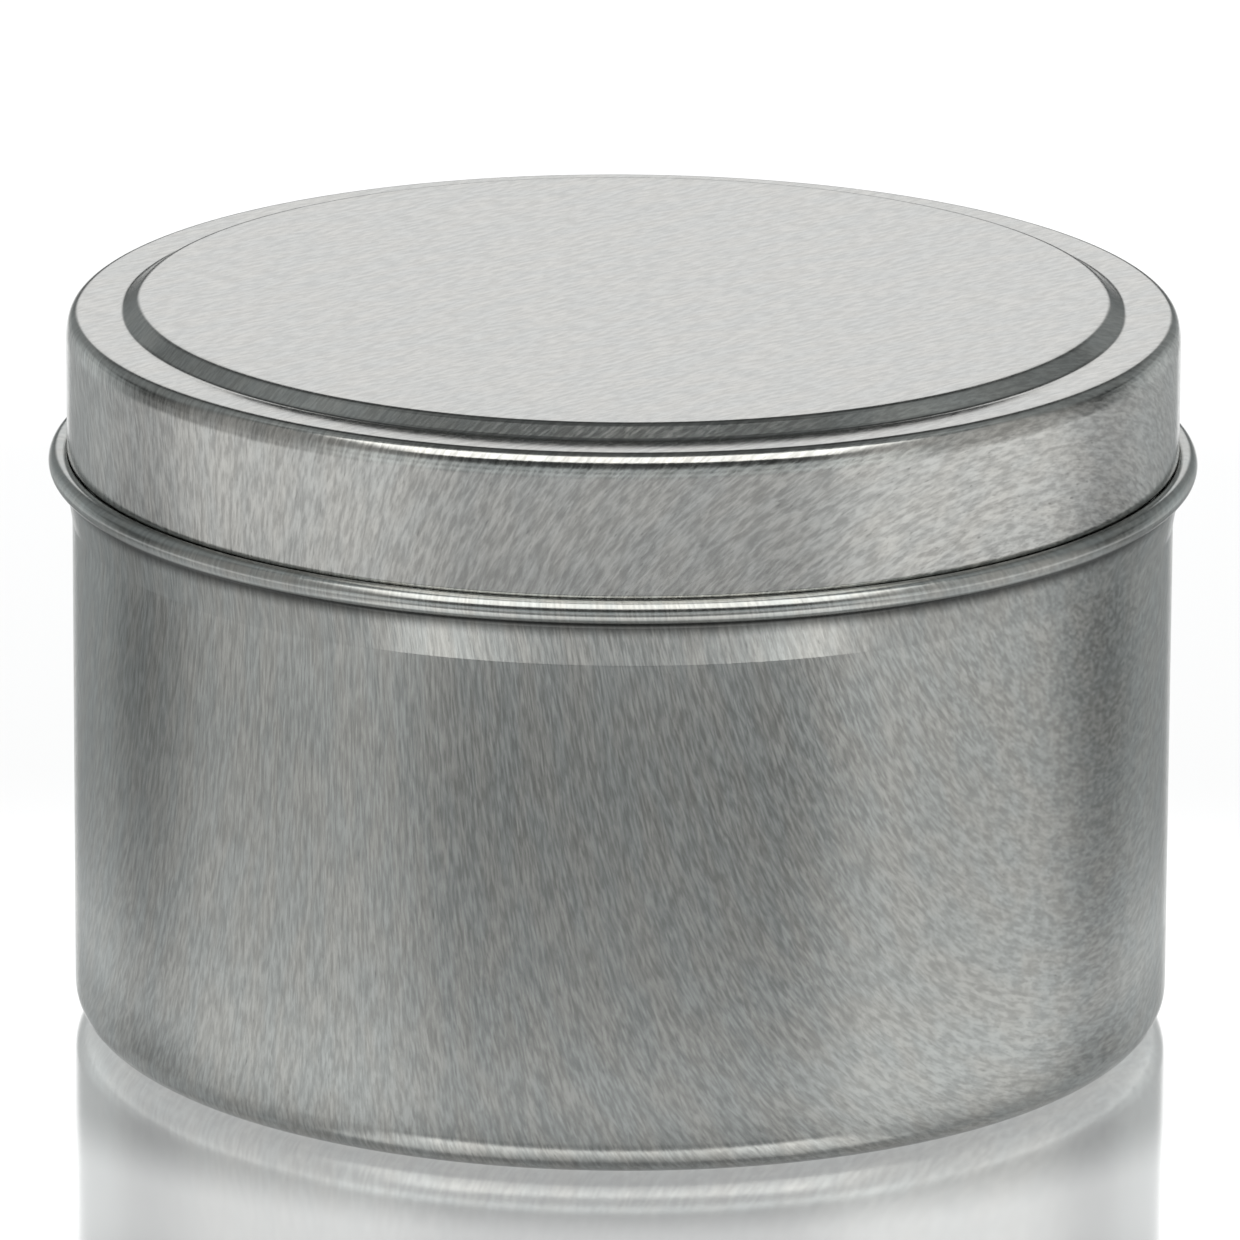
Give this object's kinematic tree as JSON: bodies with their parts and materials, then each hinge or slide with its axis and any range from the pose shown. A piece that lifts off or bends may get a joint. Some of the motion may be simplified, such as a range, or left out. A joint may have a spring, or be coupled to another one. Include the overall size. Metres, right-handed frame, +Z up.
{
  "type": "candle tin",
  "caption": "Round candle tin of drawn tinplate: a straight cup with a stop bead, set-in neck and curled rim, and a slip-on cap with a raised flat panel.",
  "frame": {"origin": "centre of the base, in the plane of the standing ring that the tin rests on", "axes": "+Z up along the tin's axis, from the base to the lid; the tin is round, so +X and +Y are interchangeable, and -Y is taken as the front"},
  "size_m": [0.0806, 0.0806, 0.0523],
  "materials": {
    "tinplate_body": "bright unprinted tinplate with a fine rolled grain",
    "tinplate_lid": "bright unprinted tinplate with a fine rolled grain"
  },
  "bodies": {
    "tin": {"tin_body": "tinplate_body"},
    "lid": {"lid": "tinplate_lid"}
  },
  "joints": [
    {"name": "lid_lift", "type": "slide", "parent": "tin", "child": "lid", "axis": [0, 0, 1], "range_m": [0, 0.06]}
  ]
}
